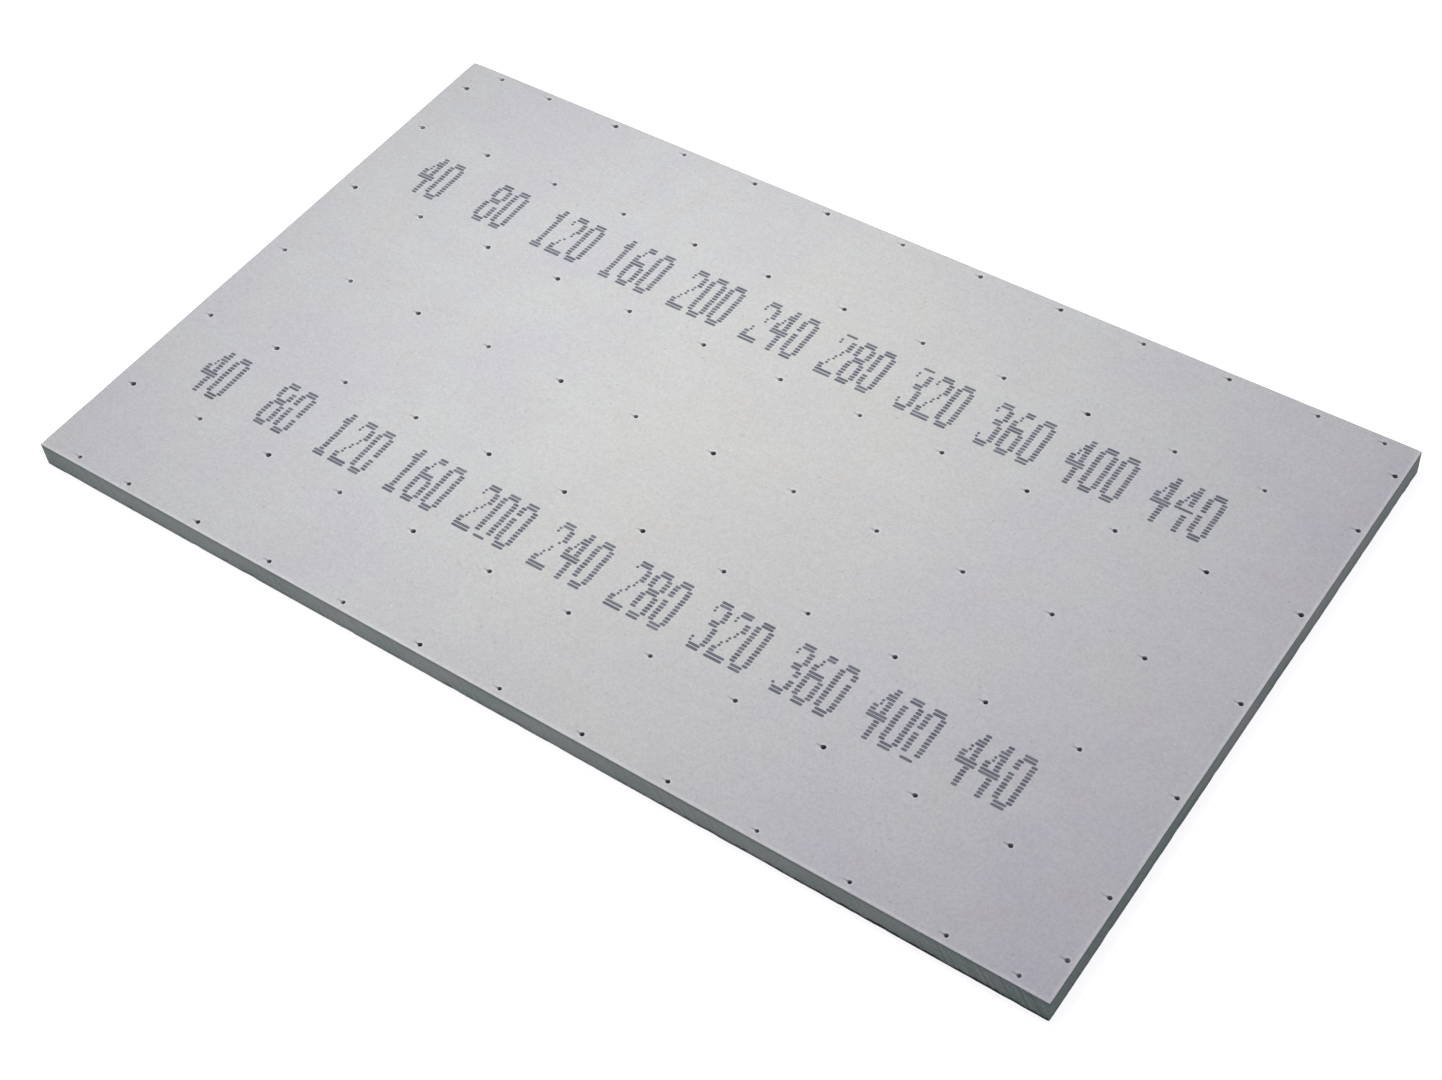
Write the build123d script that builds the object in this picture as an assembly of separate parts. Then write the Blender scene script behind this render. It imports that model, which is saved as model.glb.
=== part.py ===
from build123d import *
import os

# Tile backer board: one sawn panel of fibre cement with a grid of blind pilot holes in its face.
# Millimetres. The board lies flat: X runs along its length, Y across its width and Z up through its
# thickness. The origin is the middle of the back, so the back rests on Z = 0 and the face is on top.

# The panel
length = 508.0
width = 304.8
thickness = 12.7

# The edges, left crisp by the saw and only just broken
end_corner_radius = 0.6
face_arris_radius = 0.4
back_arris_chamfer = 0.25

# One pilot hole, pressed by the blunt pin of a roller, with the shallow groove that the pin drew
# towards the left end as it rolled out
hole_radius = 1.0
hole_depth = 3.2
groove_width = 0.8
groove_depth = 0.25
groove_length = 4.0

# The grid of holes, pressed a little off the middle of the panel
column_count = 13
left_column_inset = 10.0
right_column_inset = 3.6
inner_row_count = 5
near_inner_row_inset = 48.8
far_inner_row_inset = 52.8
edge_row_inset = 4.0

# The corners, where the grid's own hole is left out and a hole is pressed in each edge beside it
long_edge_setback = 11.2
short_edge_setback = 14.4
short_edge_corners = [(1, -1), (1, 1), (-1, 1)]


def panel():
    """The bare panel with its sawn corners and broken arrises."""
    outline = RectangleRounded(length, width, end_corner_radius)
    board = extrude(outline, thickness)
    board = fillet(board.faces().sort_by(Axis.Z)[-1].edges(), face_arris_radius)
    return chamfer(board.faces().sort_by(Axis.Z)[0].edges(), back_arris_chamfer)


def spread(first, last, count):
    """Evenly spaced positions from first to last."""
    step = (last - first) / (count - 1)
    return [first + step * place for place in range(count)]


def column_positions():
    """X of each column of holes, from the left end of the panel to the right."""
    return spread(left_column_inset - length / 2, length / 2 - right_column_inset, column_count)


def inner_row_positions():
    """Y of each row of holes between the two rows along the long edges."""
    return spread(near_inner_row_inset - width / 2, width / 2 - far_inner_row_inset, inner_row_count)


def hole_positions():
    """Centres of all pilot holes in the face, as points of X and Y."""
    columns = column_positions()
    edge_row = width / 2 - edge_row_inset
    inner = [(x, y) for y in inner_row_positions() for x in columns]
    edges = [(x, side * edge_row) for side in (-1, 1) for x in columns[1:-1]]
    middle = (columns[0] + columns[-1]) / 2
    half_span = (columns[-1] - columns[0]) / 2
    long_corners = [
        (middle + end * (half_span - long_edge_setback), side * edge_row)
        for side in (-1, 1)
        for end in (-1, 1)
    ]
    short_corners = [
        (middle + end * half_span, side * (edge_row - short_edge_setback))
        for end, side in short_edge_corners
    ]
    return inner + edges + long_corners + short_corners


def groove():
    """The V that a pin draws in the face: deepest at the hole's middle, running out to nothing."""
    section = Polyline(
        (-groove_width, groove_depth),
        (0, -groove_depth),
        (groove_width, groove_depth),
        close=True,
    )
    point_above_face = Vertex(-2 * groove_length, 0, groove_depth)
    return loft([make_face(Plane.YZ * section), point_above_face])


def pilot_hole():
    """The solid that one pin takes out, with the face of the panel at Z = 0."""
    return Cylinder(hole_radius, 2 * hole_depth) + groove()


def backer_board():
    """The panel with every pilot hole pressed into its face."""
    hole = pilot_hole()
    return panel() - [Pos(x, y, thickness) * hole for x, y in hole_positions()]


os.makedirs("parts", exist_ok=True)
export_step(backer_board(), "parts/backer_board.step")
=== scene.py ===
"""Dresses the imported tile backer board: a finer panel, its pilot holes, a scale in ink and a studio.

The board lies flat in the frame of the CAD model: X along its length, Y across its width, Z up out of its
face. Lengths are metres, and sizes below are written in millimetres times MM.
"""

from __future__ import annotations

import logging
import math
from dataclasses import dataclass, field
from enum import Enum
from typing import Any

import bmesh
import bpy
from mathutils import Matrix, Vector, geometry, noise

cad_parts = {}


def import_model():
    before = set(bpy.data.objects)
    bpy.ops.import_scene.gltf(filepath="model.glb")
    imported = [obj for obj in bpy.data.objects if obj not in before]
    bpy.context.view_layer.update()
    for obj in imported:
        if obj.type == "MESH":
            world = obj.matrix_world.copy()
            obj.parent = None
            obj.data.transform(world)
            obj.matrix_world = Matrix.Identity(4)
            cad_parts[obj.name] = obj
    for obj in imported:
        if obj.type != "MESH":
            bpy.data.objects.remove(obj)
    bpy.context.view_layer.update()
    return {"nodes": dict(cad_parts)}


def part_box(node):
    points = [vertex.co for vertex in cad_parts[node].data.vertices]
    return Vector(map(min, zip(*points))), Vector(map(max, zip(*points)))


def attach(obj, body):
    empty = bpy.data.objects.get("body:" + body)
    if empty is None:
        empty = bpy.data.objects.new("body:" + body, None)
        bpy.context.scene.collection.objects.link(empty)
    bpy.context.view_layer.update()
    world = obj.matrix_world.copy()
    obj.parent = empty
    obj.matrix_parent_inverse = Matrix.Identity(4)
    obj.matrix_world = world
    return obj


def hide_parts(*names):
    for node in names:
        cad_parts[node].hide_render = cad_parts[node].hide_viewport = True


LOG = logging.getLogger("backer_board")
MM = 0.001
NODE = "backer_board"

# Sockets of the Mix node for colours, which shares its names among number, vector and colour
MIX_FACTOR = 0
MIX_FIRST = 6
MIX_SECOND = 7
MIX_COLOUR = 2

# Values that the holes' points carry for the materials: a painted highlight on the lip and painted shade in
# the groove, and dust in the hole
SHADE = "shade"
DUST = "dust"
MARKS = (SHADE, DUST)
# The value that each dash of ink carries: how faded it is
TONE = "tone"

# The period of a wave texture whose scale is 1
WAVE_PERIOD = math.pi / 10
# The kind of filling that keeps to the inside of an outline, and how near two of its points may be
FILL_INSIDE = 1
FILL_PRECISION = 1e-9

Colour = tuple[float, float, float, float]
Place = tuple[float, float, float]
Socket = bpy.types.NodeSocket
Tree = bpy.types.NodeTree


def linear(hex_colour: str) -> Colour:
    """Turns an sRGB colour into linear light.

    Args:
        hex_colour: The colour as # and six hexadecimal digits.

    Returns:
        Red, green and blue in linear light, and an alpha of 1.
    """
    channels = [int(hex_colour[start:start + 2], 16) / 255 for start in (1, 3, 5)]
    red, green, blue = [c / 12.92 if c <= 0.04045 else ((c + 0.055) / 1.055) ** 2.4 for c in channels]
    return (red, green, blue, 1.0)


def add_node(
    tree: Tree,
    kind: str,
    settings: dict[str, Any] | None = None,
    inputs: dict[str | int, Any] | None = None,
) -> bpy.types.Node:
    """Adds a node to a tree.

    Args:
        tree: The shader or geometry tree that gets the node.
        kind: The node's type name.
        settings: Properties of the node.
        inputs: For each socket, by name or index, a value or the output that is linked to it.

    Returns:
        The new node.
    """
    node = tree.nodes.new(kind)
    for name, value in (settings or {}).items():
        setattr(node, name, value)
    for key, value in (inputs or {}).items():
        if isinstance(value, Socket):
            tree.links.new(value, node.inputs[key])
        else:
            node.inputs[key].default_value = value
    return node


def seen_share(tree: Tree) -> Socket:
    """Tells what is looked at from what only throws light.

    Args:
        tree: The node tree of a material or of the world.

    Returns:
        1 for a ray of the camera, of a gloss or through glass, and 0 for light that bounces.
    """
    paths = add_node(tree, "ShaderNodeLightPath").outputs
    seen = paths["Is Camera Ray"]
    for path in ("Is Glossy Ray", "Is Transmission Ray"):
        larger = add_node(tree, "ShaderNodeMath", {"operation": "MAXIMUM"}, {0: seen, 1: paths[path]})
        seen = larger.outputs[0]
    return seen


def new_material(name: str) -> bpy.types.Material:
    """Starts a material.

    Args:
        name: What the real material is, and how its surface was made.

    Returns:
        A material with an empty node tree.
    """
    material = bpy.data.materials.new(name)
    material.use_nodes = True
    material.node_tree.nodes.clear()
    return material


def new_object(name: str, mesh: bpy.types.Mesh) -> bpy.types.Object:
    """Puts a mesh in the scene.

    Args:
        name: The object's name.
        mesh: The object's mesh.

    Returns:
        The object, at the origin.
    """
    piece = bpy.data.objects.new(name, mesh)
    bpy.context.scene.collection.objects.link(piece)
    return piece


def store(mesh: bpy.types.Mesh, name: str, values: list[float]) -> None:
    """Gives each point of a mesh a value of its own, under a name."""
    mesh.attributes.new(name, "FLOAT", "POINT").data.foreach_set("value", values)


def lumps(place: Vector, size: float, layer: float = 0.0) -> float:
    """Reads a fixed noise, from -1 to 1, whose lumps have a size. Layers far apart have nothing in common."""
    return noise.noise(place / size + Vector((0.0, 0.0, layer)))


class Skin(Enum):
    """The surfaces of the panel, each with its own finish. The value is the material slot."""

    FACE = 0
    ARRIS = 1
    EDGE = 2
    WALL = 3
    BACK = 4


class Blend(Enum):
    """How a layer of colour goes on what is below it. The value is the Mix node's word."""

    COVER = "MIX"
    LIGHT = "MULTIPLY"


@dataclass(frozen=True)
class Layer:
    """A tint that covers a share of the colours below it, or a light level that they are multiplied by."""

    share: Socket | float
    colour: Socket | Colour
    blend: Blend = Blend.COVER


@dataclass(frozen=True, kw_only=True)
class MattFinish:
    """What the finishes of the board have in common: a dull surface, in the relief of its own pattern."""

    roughness: float
    specular: float
    relief_depth: float
    relief_strength: float = 0.5
    ior: float = 1.5

    def close(
        self,
        tree: Tree,
        base: str,
        layers: list[Layer],
        height: Socket,
        roughness: Socket | None = None,
    ) -> None:
        """Ends the finish's node tree: colours laid on one another, relief, surface and output.

        Args:
            tree: The finish's node tree.
            base: The lowest colour.
            layers: What is laid on it, from below.
            height: The pattern that the relief follows.
            roughness: The roughness, where it isn't the same all over.
        """
        coloured: Socket | Colour = linear(base)
        for layer in layers:
            mixed = add_node(tree, "ShaderNodeMix", {"data_type": "RGBA", "blend_type": layer.blend.value},
                             {MIX_FACTOR: layer.share, MIX_FIRST: coloured, MIX_SECOND: layer.colour})
            coloured = mixed.outputs[MIX_COLOUR]
        relief = add_node(tree, "ShaderNodeBump", None,
                          {"Strength": self.relief_strength, "Distance": self.relief_depth, "Height": height})
        surface = add_node(tree, "ShaderNodeBsdfPrincipled", None,
                           {"Base Color": coloured, "IOR": self.ior, "Specular IOR Level": self.specular,
                            "Roughness": self.roughness if roughness is None else roughness,
                            "Normal": relief.outputs[0]})
        add_node(tree, "ShaderNodeOutputMaterial", None, {"Surface": surface.outputs[0]})


@dataclass(frozen=True, kw_only=True)
class PressedFace(MattFinish):
    """Fibre cement, pressed between rollers: a matt, cool, pale grey skin with faint clouds of colour."""

    half_length: float
    half_width: float
    pale: str = "#CFD0D0"
    lilac: str = "#CBCAD0"
    warm: str = "#CFCCCC"
    cream: str = "#D0CFCA"
    # The rim's colour is a painted highlight along the near and right edges, where the arris catches the
    # light, with some chalk
    rim: str = "#E2E3E3"
    fleck: str = "#9A9CA0"
    # Painted highlight on the raised lips of the holes, with some chalk
    lip: str = "#DFE0E1"
    # Painted shade in the drag grooves that run from the holes towards the left end
    groove: str = "#76767C"
    cloud_size: float = 42 * MM
    patch_size: float = 17 * MM
    streak_length: float = 70 * MM
    streak_width: float = 2.4 * MM
    # Cement grain is about 0.2 mm, and is drawn coarser so that it shows
    grain_size: float = 1.1 * MM
    fleck_spacing: float = 7.0 * MM
    fleck_radius: float = 0.32 * MM
    # The cream tint lies across the middle of the board, and reaches twice as far over its width
    cream_middle: Place = (25 * MM, 0.0, 0.0)
    cream_reach: float = 150 * MM
    cream_stretch: Place = (1.0, 2.0, 1.0)
    rim_width: float = 1.8 * MM
    rim_raggedness: float = 5 * MM
    # The face is smoothest where it has the least of its warm patches
    smoothest: float = 0.72
    roughness: float = 0.86
    specular: float = 0.3
    relief_depth: float = 0.08 * MM

    def material(self) -> bpy.types.Material:
        """Makes the face: clouds and patches of tint, a pale rim of painted highlight with some chalk, grain,
        flecks, a painted highlight on the lips and painted shade in the grooves.

        Returns:
            The material.
        """
        material = new_material("fibre cement, pressed face")
        tree = material.node_tree
        place = add_node(tree, "ShaderNodeTexCoord").outputs["Object"]
        clouds = add_node(tree, "ShaderNodeTexNoise", None,
                          {"Vector": place, "Scale": 1 / self.cloud_size, "Detail": 3.0})
        lilac_share = add_node(tree, "ShaderNodeMapRange", None,
                               {"Value": clouds.outputs[0], "From Min": 0.38, "From Max": 0.66,
                                "To Max": 0.9})
        patches = add_node(tree, "ShaderNodeTexNoise", None,
                           {"Vector": place, "Scale": 1 / self.patch_size, "Detail": 4.0, "Distortion": 0.6})
        warm_share = add_node(tree, "ShaderNodeMapRange", None,
                              {"Value": patches.outputs[0], "From Min": 0.48, "From Max": 0.72,
                               "To Max": 0.75})
        rough = add_node(tree, "ShaderNodeMapRange", None,
                         {"Value": patches.outputs[0], "From Min": 0.3, "From Max": 0.7,
                          "To Min": self.smoothest, "To Max": self.roughness})
        across = 1 / self.streak_width
        drawn_out = add_node(tree, "ShaderNodeMapping", None,
                             {"Vector": place, "Scale": (1 / self.streak_length, across, across)})
        streaks = add_node(tree, "ShaderNodeTexNoise", None,
                           {"Vector": drawn_out.outputs[0], "Scale": 1.0, "Detail": 2.0})
        streak_light = add_node(tree, "ShaderNodeMapRange", None,
                                {"Value": streaks.outputs[0], "From Min": 0.25, "From Max": 0.75,
                                 "To Min": 0.988, "To Max": 1.01})
        grain = add_node(tree, "ShaderNodeTexNoise", None,
                         {"Vector": place, "Scale": 1 / self.grain_size, "Detail": 2.0, "Roughness": 0.7})
        grain_light = add_node(tree, "ShaderNodeMapRange", None,
                               {"Value": grain.outputs[0], "From Min": 0.25, "From Max": 0.75,
                                "To Min": 0.89, "To Max": 1.1})
        cells = add_node(tree, "ShaderNodeTexVoronoi", None,
                         {"Vector": place, "Scale": 1 / self.fleck_spacing, "Randomness": 1.0})
        fleck_size = self.fleck_radius / self.fleck_spacing
        fleck_share = add_node(tree, "ShaderNodeMapRange", None,
                               {"Value": cells.outputs["Distance"], "From Min": fleck_size,
                                "From Max": 2.2 * fleck_size, "To Min": 0.35, "To Max": 0.0})
        shade = add_node(tree, "ShaderNodeAttribute", {"attribute_name": SHADE}).outputs["Fac"]
        # Painted highlight on the lips, where the shade attribute is above 0
        lip_highlight_share = add_node(tree, "ShaderNodeMapRange", None, {"Value": shade, "To Max": 0.7})
        # Painted shade in the grooves, where the shade attribute is below 0
        groove_shade_share = add_node(tree, "ShaderNodeMapRange", None,
                                {"Value": shade, "From Max": -1.0, "To Max": 0.9})
        self.close(tree, self.pale, [
            Layer(lilac_share.outputs[0], linear(self.lilac)),
            Layer(warm_share.outputs[0], linear(self.warm)),
            Layer(self.cream_share(tree, place), linear(self.cream)),
            # Painted highlight, with some chalk, along the near and right edges of the face
            Layer(self.rim_share(tree, place), linear(self.rim)),
            Layer(1.0, streak_light.outputs[0], Blend.LIGHT),
            Layer(1.0, grain_light.outputs[0], Blend.LIGHT),
            Layer(fleck_share.outputs[0], linear(self.fleck)),
            Layer(lip_highlight_share.outputs[0], linear(self.lip)),
            Layer(groove_shade_share.outputs[0], linear(self.groove)),
        ], grain.outputs[0], rough.outputs[0])
        return material

    def cream_share(self, tree: Tree, place: Socket) -> Socket:
        """Measures how much of the cream tint a point takes.

        Args:
            tree: The face's node tree.
            place: The point on the board.

        Returns:
            A share that is largest in a patch across the middle.
        """
        drawn_out = add_node(tree, "ShaderNodeMapping", {"vector_type": "TEXTURE"},
                             {"Vector": place, "Location": self.cream_middle, "Scale": self.cream_stretch})
        away = add_node(tree, "ShaderNodeVectorMath", {"operation": "LENGTH"}, {0: drawn_out.outputs[0]})
        share = add_node(tree, "ShaderNodeMapRange", {"interpolation_type": "SMOOTHSTEP"},
                         {"Value": away.outputs["Value"], "From Min": 0.2 * self.cream_reach,
                          "From Max": self.cream_reach, "To Min": 0.5, "To Max": 0.0})
        return share.outputs[0]

    def rim_share(self, tree: Tree, place: Socket) -> Socket:
        """Measures how much of the rim's colour, a painted highlight with some chalk, a point takes.

        Args:
            tree: The face's node tree.
            place: The point on the board.

        Returns:
            A share that grows from 0, inside the face, towards its near and right edges.
        """
        sides = add_node(tree, "ShaderNodeSeparateXYZ", None, {0: place}).outputs
        past_right = add_node(tree, "ShaderNodeMath", {"operation": "SUBTRACT"},
                              {0: sides["X"], 1: self.half_length})
        past_near = add_node(tree, "ShaderNodeMath", {"operation": "SUBTRACT"},
                             {0: -self.half_width, 1: sides["Y"]})
        nearest = add_node(tree, "ShaderNodeMath", {"operation": "MAXIMUM"},
                           {0: past_right.outputs[0], 1: past_near.outputs[0]})
        ragged = add_node(tree, "ShaderNodeTexNoise", None,
                          {"Vector": place, "Scale": 1 / self.rim_raggedness, "Detail": 2.0})
        wandering = add_node(tree, "ShaderNodeMath", {"operation": "MULTIPLY_ADD"},
                             {0: ragged.outputs[0], 1: self.rim_width, 2: nearest.outputs[0]})
        share = add_node(tree, "ShaderNodeMapRange", None,
                         {"Value": wandering.outputs[0], "From Min": -0.6 * self.rim_width,
                          "From Max": 0.2 * self.rim_width, "To Max": 0.85})
        return share.outputs[0]


@dataclass(frozen=True, kw_only=True)
class RubbedArris(MattFinish):
    """Fibre cement along the broken edge of the face: a pale line on the right end, chalk and a painted
    highlight where the arris catches the light.
    """

    half_length: float
    # The pale line's colour: chalk and a painted highlight where the arris catches the light
    chalk: str = "#E6E8E8"
    bare: str = "#CFD1D0"
    wear_length: float = 5 * MM
    strip: float = 1.6 * MM
    roughness: float = 0.88
    specular: float = 0.25
    relief_depth: float = 0.15 * MM
    relief_strength: float = 0.6

    def material(self) -> bpy.types.Material:
        """Makes the arris: chalk and painted highlight that break up along the right end, with a dusty
        roughness.

        Returns:
            The material.
        """
        material = new_material("fibre cement, arris, chalk and painted highlight")
        tree = material.node_tree
        place = add_node(tree, "ShaderNodeTexCoord").outputs["Object"]
        wear = add_node(tree, "ShaderNodeTexNoise", None,
                        {"Vector": place, "Scale": 1 / self.wear_length, "Detail": 5.0, "Roughness": 0.65})
        along = add_node(tree, "ShaderNodeSeparateXYZ", None, {0: place}).outputs["X"]
        # Chalk and painted highlight along the right end's arris
        on_right_end = add_node(tree, "ShaderNodeMath", {"operation": "GREATER_THAN"},
                             {0: along, 1: self.half_length - self.strip})
        left_on = add_node(tree, "ShaderNodeMapRange", None,
                           {"Value": wear.outputs[0], "From Min": 0.45, "From Max": 0.7,
                            "To Min": 0.95, "To Max": 0.3})
        chalk_and_highlight_share = add_node(tree, "ShaderNodeMath", {"operation": "MULTIPLY"},
                               {0: on_right_end.outputs[0], 1: left_on.outputs[0]})
        self.close(tree, self.bare, [Layer(chalk_and_highlight_share.outputs[0], linear(self.chalk))], wear.outputs[0])
        return material


@dataclass(frozen=True, kw_only=True)
class SawnEdge(MattFinish):
    """Fibre cement, cut through by a saw: greener than the face, and darker partly as painted shade of the
    sides, layered, with slanting marks.
    """

    thickness: float
    stained_corner: Place
    # These colours are darker than the face: the edge's own tint with painted shade of the sides in it
    grey: str = "#9AA39F"
    green: str = "#80918B"
    brown: str = "#A29E97"
    stain_reach: float = 75 * MM
    # Along the right end the stain fades more slowly
    stain_scale: Place = (1.0, 0.4, 1.0)
    patch_size: float = 48 * MM
    layer_length: float = 30 * MM
    layer_height: float = 1.5 * MM
    # Saw marks are about 0.9 mm apart, and are drawn coarser so that they show
    mark_spacing: float = 1.8 * MM
    mark_slant: float = 0.5
    # The saw bit harder on some passes than on others
    pass_length: float = 26 * MM
    # The right end was cut by a finer saw
    end_mark_share: float = 0.2
    end_depth: float = 0.8 * MM
    grit_size: float = 1.2 * MM
    shade_height: float = 1.1 * MM
    # The foot is darkened by a painted contact shadow, broken by noise and growing towards the stained corner
    foot_height: float = 2.2 * MM
    foot_raggedness: float = 4.0 * MM
    foot_reach: float = 220 * MM
    scuff_length: float = 9 * MM
    roughness: float = 0.9
    specular: float = 0.2
    relief_depth: float = 0.16 * MM
    relief_strength: float = 0.7

    def material(self) -> bpy.types.Material:
        """Makes the edge: patches of tint, pressed layers, saw marks, grit, a dark line at the top and a
        painted contact shadow at the foot.

        Returns:
            The material.
        """
        material = new_material("fibre cement, sawn edge")
        tree = material.node_tree
        place = add_node(tree, "ShaderNodeTexCoord").outputs["Object"]
        axes = add_node(tree, "ShaderNodeSeparateXYZ", None, {0: place}).outputs
        stain = self.stain_share(tree, place)
        patches = add_node(tree, "ShaderNodeTexNoise", None,
                           {"Vector": place, "Scale": 1 / self.patch_size, "Detail": 3.0})
        stained = add_node(tree, "ShaderNodeMath", {"operation": "ADD"}, {0: patches.outputs[0], 1: stain})
        green_share = add_node(tree, "ShaderNodeMapRange", None,
                               {"Value": stained.outputs[0], "From Min": 0.48, "From Max": 0.82})
        along = 1 / self.layer_length
        layered = add_node(tree, "ShaderNodeMapping", None,
                           {"Vector": place, "Scale": (along, along, 1 / self.layer_height)})
        layers = add_node(tree, "ShaderNodeTexNoise", None,
                          {"Vector": layered.outputs[0], "Scale": 1.0, "Detail": 4.0})
        brown_share = add_node(tree, "ShaderNodeMapRange", None,
                               {"Value": layers.outputs[0], "From Min": 0.5, "From Max": 0.72, "To Max": 0.7})
        layer_light = add_node(tree, "ShaderNodeMapRange", None,
                               {"Value": layers.outputs[0], "From Min": 0.25, "From Max": 0.75,
                                "To Min": 0.93, "To Max": 1.06})
        right_end = self.stained_corner[0]
        off_end = add_node(tree, "ShaderNodeMapRange", None,
                           {"Value": axes["X"], "From Min": right_end - self.end_depth,
                            "From Max": right_end - 0.4 * self.end_depth, "To Min": 1.0, "To Max": 0.0})
        marks = self.saw_marks(tree, place, stain, off_end.outputs[0])
        mark_light = add_node(tree, "ShaderNodeMapRange", None,
                              {"Value": marks, "From Min": -1.0, "To Min": 0.75, "To Max": 1.25})
        grit = add_node(tree, "ShaderNodeTexNoise", None,
                        {"Vector": place, "Scale": 1 / self.grit_size, "Detail": 3.0, "Roughness": 0.7})
        grit_light = add_node(tree, "ShaderNodeMapRange", None,
                              {"Value": grit.outputs[0], "From Min": 0.25, "From Max": 0.75,
                               "To Min": 0.78, "To Max": 1.2})
        under_arris = add_node(tree, "ShaderNodeMapRange", None,
                               {"Value": axes["Z"], "From Min": self.thickness - 2 * self.shade_height,
                                "From Max": self.thickness - self.shade_height, "To Min": 1.0, "To Max": 0.8})
        # Painted contact shadow along the foot
        foot = self.foot_light(tree, place, axes["Z"], off_end.outputs[0])
        lights = [light.outputs[0] for light in (layer_light, mark_light, grit_light, under_arris)]
        cut = add_node(tree, "ShaderNodeMath", {"operation": "ADD"}, {0: marks, 1: grit.outputs[0]})
        self.close(tree, self.grey, [
            Layer(green_share.outputs[0], linear(self.green)),
            Layer(brown_share.outputs[0], linear(self.brown)),
            *(Layer(1.0, light, Blend.LIGHT) for light in [*lights, foot]),
        ], cut.outputs[0])
        return material

    def stain_share(self, tree: Tree, place: Socket) -> Socket:
        """Measures how stained a point is.

        Args:
            tree: The edge's node tree.
            place: The point on the board.

        Returns:
            A share that is largest at the stained corner.
        """
        from_corner = add_node(tree, "ShaderNodeVectorMath", {"operation": "SUBTRACT"},
                               {0: place, 1: self.stained_corner})
        spread = add_node(tree, "ShaderNodeVectorMath", {"operation": "MULTIPLY"},
                          {0: from_corner.outputs[0], 1: self.stain_scale})
        distance = add_node(tree, "ShaderNodeVectorMath", {"operation": "LENGTH"}, {0: spread.outputs[0]})
        share = add_node(tree, "ShaderNodeMapRange", None,
                         {"Value": distance.outputs["Value"], "From Max": self.stain_reach,
                          "To Min": 0.5, "To Max": 0.0})
        return share.outputs[0]

    def foot_light(self, tree: Tree, place: Socket, height: Socket, off_end: Socket) -> Socket:
        """Paints the board's contact shadow along the foot, broken by noise and darkest towards the stained
        corner.

        Args:
            tree: The edge's node tree.
            place: The point on the board.
            height: The point's height.
            off_end: 0 on the right end, whose painted foot shadow doesn't grow towards the corner, and 1
                elsewhere.

        Returns:
            A light level that is low in the painted shadow and 1 above it.
        """
        to_corner = add_node(tree, "ShaderNodeVectorMath", {"operation": "DISTANCE"},
                             {0: place, 1: self.stained_corner})
        growing = add_node(tree, "ShaderNodeMapRange", None,
                           {"Value": to_corner.outputs["Value"], "From Max": self.foot_reach,
                            "To Min": 0.5, "To Max": 0.0})
        # Noise breaks up the painted shadow's strength and its top edge
        scuffs = add_node(tree, "ShaderNodeTexNoise", None,
                          {"Vector": place, "Scale": 1 / self.scuff_length, "Detail": 4.0, "Roughness": 0.7})
        shadowed = add_node(tree, "ShaderNodeMath", {"operation": "MULTIPLY_ADD"},
                           {0: growing.outputs[0], 1: off_end, 2: scuffs.outputs[0]})
        lowest = add_node(tree, "ShaderNodeMapRange", None,
                          {"Value": shadowed.outputs[0], "From Min": 0.5, "From Max": 0.85,
                           "To Min": 0.85, "To Max": 0.05})
        ragged = add_node(tree, "ShaderNodeMath", {"operation": "MULTIPLY_ADD"},
                          {0: scuffs.outputs[0], 1: -self.foot_raggedness, 2: height})
        middle = 0.5 * self.foot_raggedness
        foot = add_node(tree, "ShaderNodeMapRange", None,
                        {"Value": ragged.outputs[0], "From Min": 0.7 * self.foot_height - middle,
                         "From Max": self.foot_height - middle, "To Min": lowest.outputs[0]})
        return foot.outputs[0]

    def saw_marks(self, tree: Tree, place: Socket, stain: Socket, off_end: Socket) -> Socket:
        """Draws the slanting marks of the saw, which come and go along the edge.

        Args:
            tree: The edge's node tree.
            place: The point on the board. One of its X and Y is the same all along a side.
            stain: How stained the point is, which brings the marks out.
            off_end: 0 on the right end, where the marks are faint, and 1 elsewhere.

        Returns:
            The height of the marks, from -1 to 1.
        """
        slant = (1.0, 1.0, self.mark_slant)
        along = add_node(tree, "ShaderNodeVectorMath", {"operation": "DOT_PRODUCT"}, {0: place, 1: slant})
        lines = add_node(tree, "ShaderNodeTexNoise", {"noise_dimensions": "1D"},
                         {"W": along.outputs["Value"], "Scale": 1 / self.mark_spacing, "Detail": 2.0})
        marks = add_node(tree, "ShaderNodeMapRange", None,
                         {"Value": lines.outputs[0], "From Min": 0.3, "From Max": 0.7, "To Min": -1.0})
        passes = add_node(tree, "ShaderNodeTexNoise", None,
                          {"Vector": place, "Scale": 1 / self.pass_length, "Detail": 2.0})
        shown = add_node(tree, "ShaderNodeMath", {"operation": "ADD"}, {0: passes.outputs[0], 1: stain})
        strength = add_node(tree, "ShaderNodeMapRange", None,
                            {"Value": shown.outputs[0], "From Min": 0.45, "From Max": 0.85, "To Min": 0.15})
        share = add_node(tree, "ShaderNodeMapRange", None, {"Value": off_end, "To Min": self.end_mark_share})
        for weight in (strength, share):
            marks = add_node(tree, "ShaderNodeMath", {"operation": "MULTIPLY"},
                             {0: marks.outputs[0], 1: weight.outputs[0]})
        return marks.outputs[0]


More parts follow.
